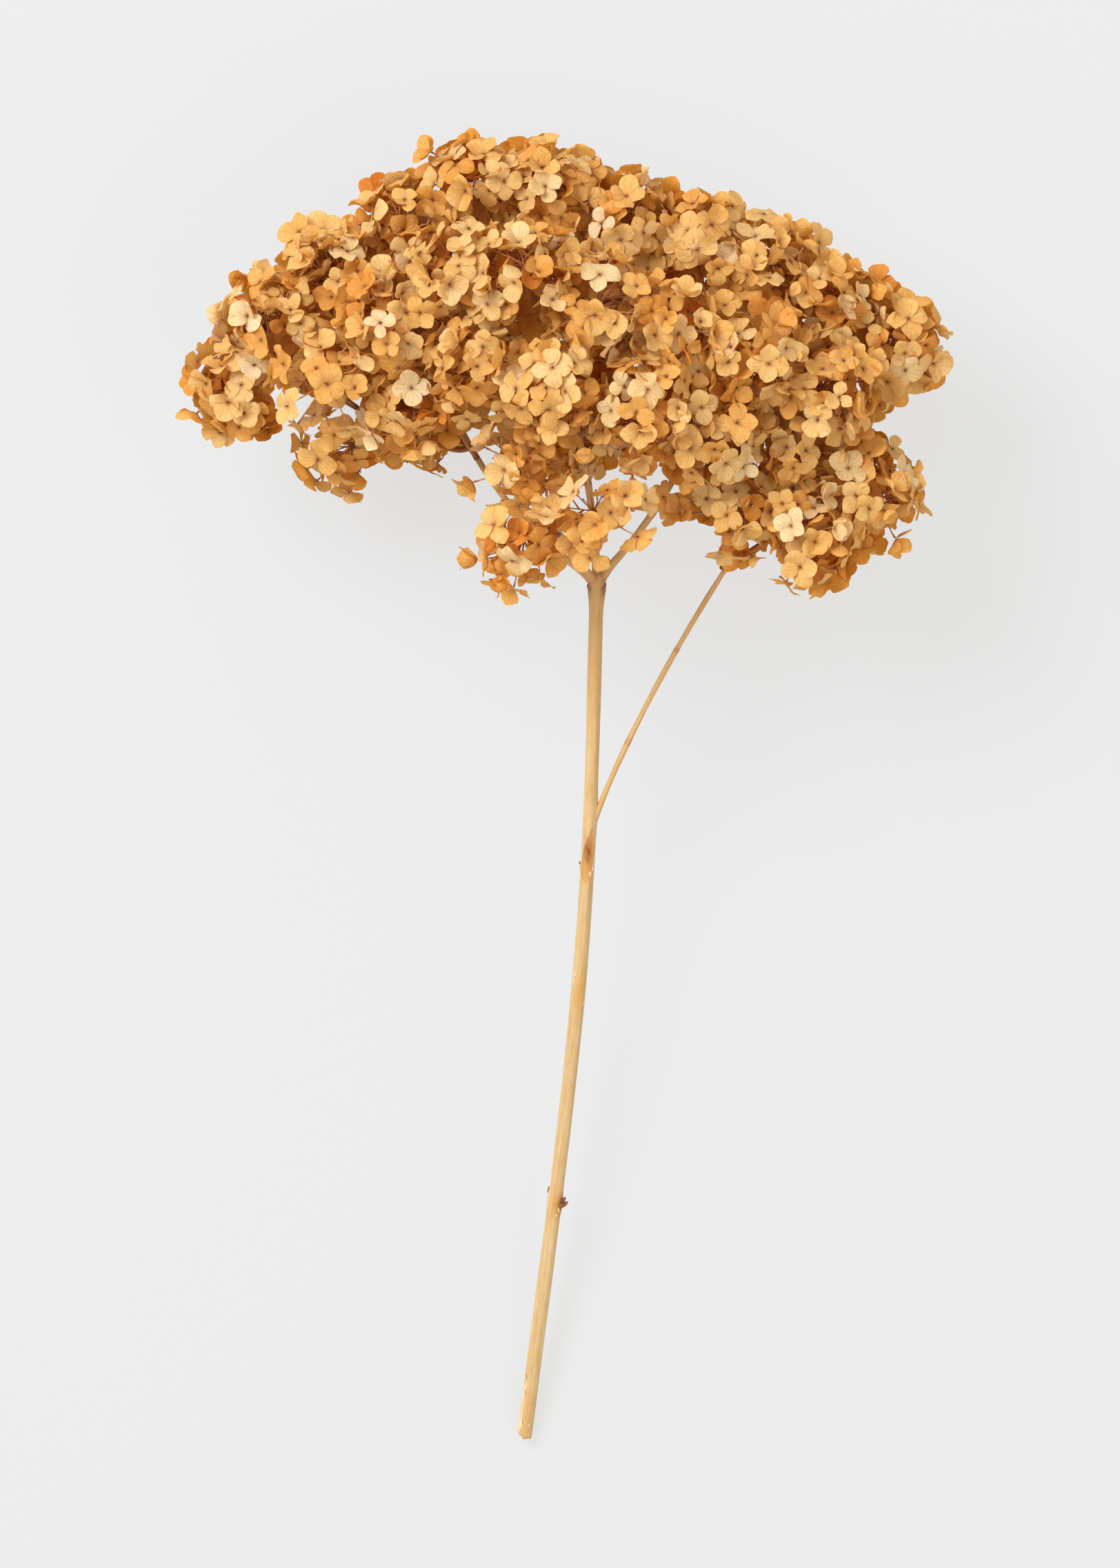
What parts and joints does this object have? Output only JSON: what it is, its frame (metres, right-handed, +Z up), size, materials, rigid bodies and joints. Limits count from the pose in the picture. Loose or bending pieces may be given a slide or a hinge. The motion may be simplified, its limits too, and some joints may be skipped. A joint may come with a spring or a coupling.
{
  "type": "dried hydrangea",
  "caption": "Cut and dried hydrangea lying on its side: a broad dome of papery four-petalled florets on branching limbs, on one long bare stem with a thin side branch.",
  "frame": {"origin": "on the surface that the flower lies on, under the middle of its bounding box", "axes": "+Z up, +Y along the stem from its cut end towards the flower head, +X across the head"},
  "size_m": [0.2926, 0.499, 0.1505],
  "materials": {
    "stem": "matt straw-brown dried bark",
    "limbs": "matt pinkish-brown dried twig",
    "florets": "thin golden-tan papery petals, matt and slightly translucent"
  },
  "bodies": {
    "root": {"centre_cluster_1": "florets", "centre_cluster_2": "florets", "centre_cluster_3": "florets", "centre_cluster_4": "florets", "centre_cluster_5": "florets", "centre_cluster_6": "florets", "centre_cluster_7": "florets", "centre_limb": "limbs", "centre_right_cluster_1": "florets", "centre_right_cluster_2": "florets", "centre_right_cluster_3": "florets", "centre_right_cluster_4": "florets", "centre_right_cluster_5": "florets", "centre_right_cluster_6": "florets", "centre_right_limb": "limbs", "front_cluster_1": "florets", "front_cluster_2": "florets", "front_cluster_3": "florets", "front_limb": "limbs", "left_cluster_1": "florets", "left_cluster_2": "florets", "left_cluster_3": "florets", "left_cluster_4": "florets", "left_cluster_5": "florets", "left_cluster_6": "florets", "left_cluster_7": "florets", "left_limb": "limbs", "left_outer_cluster_1": "florets", "left_outer_cluster_2": "florets", "left_outer_cluster_3": "florets", "left_outer_cluster_4": "florets", "left_outer_cluster_5": "florets", "left_outer_cluster_6": "florets", "left_outer_limb": "limbs", "main_stem": "stem", "right_cluster_1": "florets", "right_cluster_2": "florets", "right_cluster_3": "florets", "right_cluster_4": "florets", "right_cluster_5": "florets", "right_cluster_6": "florets", "right_cluster_7": "florets", "right_limb": "limbs", "right_outer_cluster_1": "florets", "right_outer_cluster_2": "florets", "right_outer_cluster_3": "florets", "right_outer_cluster_4": "florets", "right_outer_limb": "limbs", "side_branch": "limbs", "side_branch_cluster_1": "florets", "side_branch_fork": "limbs", "side_branch_fork_cluster_1": "florets", "side_branch_fork_cluster_2": "florets", "side_branch_fork_cluster_3": "florets", "side_branch_fork_cluster_4": "florets"}
  },
  "joints": []
}
